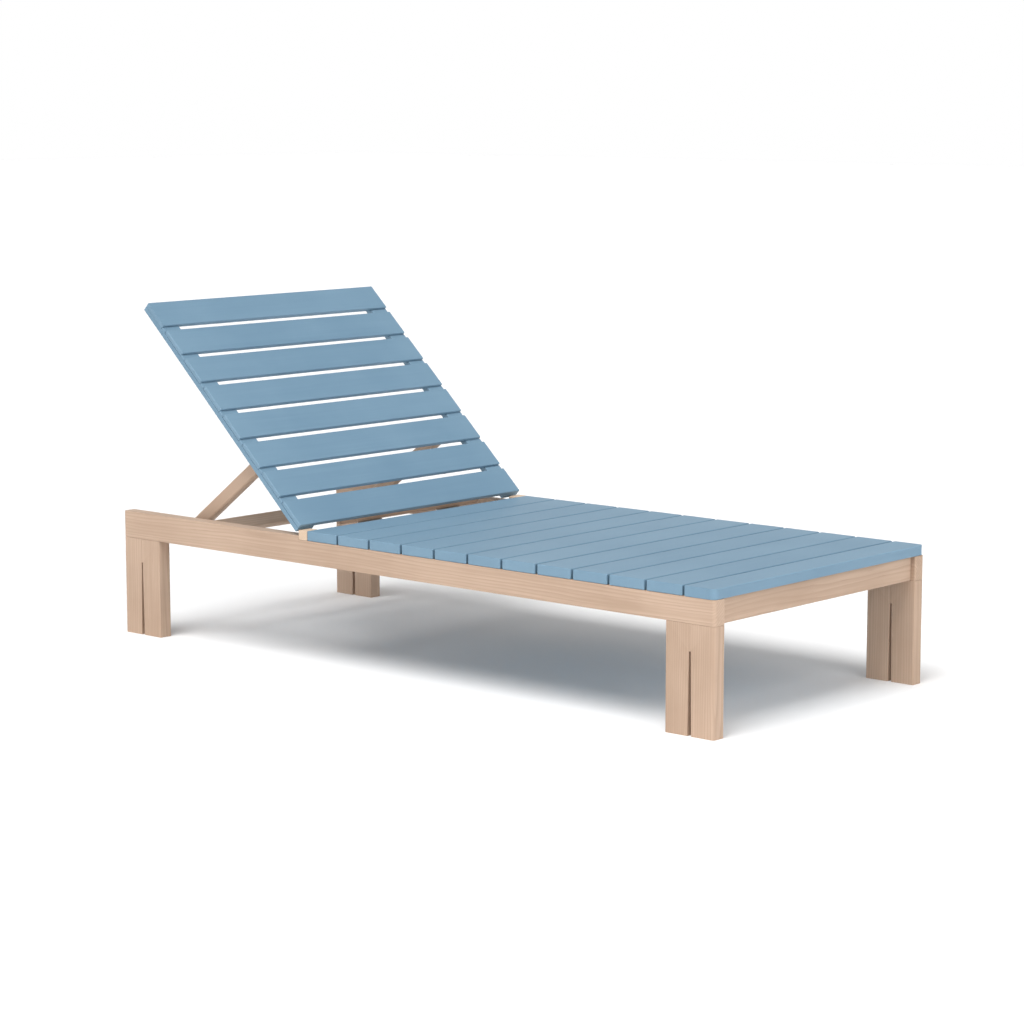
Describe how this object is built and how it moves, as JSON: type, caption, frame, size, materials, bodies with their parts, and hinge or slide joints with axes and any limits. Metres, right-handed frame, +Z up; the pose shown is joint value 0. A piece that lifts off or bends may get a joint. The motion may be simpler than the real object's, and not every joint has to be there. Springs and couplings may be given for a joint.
{
  "type": "reclining sun lounger",
  "caption": "Flat garden lounger: slatted seat on a hardwood frame with panel legs, and a slatted backrest that hinges up and is held by a pivoting prop over notched racks.",
  "frame": {"origin": "On the ground, under the centre of the whole lounger's box as drawn, backrest raised.", "axes": "+X runs to the foot end, -X to the head end, +Y to the left of someone lying on it face up, +Z up."},
  "size_m": [2, 0.848, 0.8968],
  "materials": {
    "wood": "oiled straight-grained hardwood, matt",
    "pale_wood": "bare pale hardwood, matt",
    "blue_paint": "matt blue-grey outdoor paint on wood, grain showing faintly",
    "steel": "satin stainless steel"
  },
  "bodies": {
    "frame": {"right_side_rail": "wood", "right_head_leg_head_board": "wood", "right_head_leg_foot_board": "wood", "right_head_leg_tenon": "wood", "right_foot_leg_head_board": "wood", "right_foot_leg_foot_board": "wood", "right_foot_leg_tenon": "wood", "right_hinge_block": "pale_wood", "right_seat_cleat": "wood", "right_rack": "wood", "left_side_rail": "wood", "left_head_leg_head_board": "wood", "left_head_leg_foot_board": "wood", "left_head_leg_tenon": "wood", "left_foot_leg_head_board": "wood", "left_foot_leg_foot_board": "wood", "left_foot_leg_tenon": "wood", "left_hinge_block": "pale_wood", "left_seat_cleat": "wood", "left_rack": "wood", "foot_apron": "wood", "head_tie_rail": "wood", "hinge_rail": "wood", "seat_slat_01": "blue_paint", "seat_slat_02": "blue_paint", "seat_slat_03": "blue_paint", "seat_slat_04": "blue_paint", "seat_slat_05": "blue_paint", "seat_slat_06": "blue_paint", "seat_slat_07": "blue_paint", "seat_slat_08": "blue_paint", "seat_slat_09": "blue_paint", "seat_slat_10": "blue_paint", "seat_slat_11": "blue_paint", "seat_slat_12": "blue_paint", "right_hinge_fixed_leaf": "steel", "right_hinge_pin": "steel", "left_hinge_fixed_leaf": "steel", "left_hinge_pin": "steel"},
    "backrest": {"back_slat_1": "blue_paint", "back_slat_2": "blue_paint", "back_slat_3": "blue_paint", "back_slat_4": "blue_paint", "back_slat_5": "blue_paint", "back_slat_6": "blue_paint", "back_slat_7": "blue_paint", "back_slat_8": "blue_paint", "right_back_stile": "blue_paint", "right_prop_lug": "blue_paint", "right_pivot_bolt": "steel", "right_hinge_moving_leaf": "steel", "left_back_stile": "blue_paint", "left_prop_lug": "blue_paint", "left_pivot_bolt": "steel", "left_hinge_moving_leaf": "steel", "hinge_batten": "wood"},
    "prop": {"right_strut": "wood", "left_strut": "wood", "prop_crossbar": "wood"}
  },
  "joints": [
    {"name": "backrest_hinge", "type": "hinge", "parent": "frame", "child": "backrest", "pos_m": [-0.3296, 0, 0.333], "axis": [0, 1, 0], "range_deg": [-43.6, 12.4]},
    {"name": "prop_pivot", "type": "hinge", "parent": "backrest", "child": "prop", "pos_m": [-0.52844, 0, 0.50992], "axis": [0, -1, 0], "range_deg": [-74.2, 21.2]}
  ],
  "couplings": [
    {"joint": "prop_pivot", "follows": "backrest_hinge", "ratio": 1.7}
  ]
}
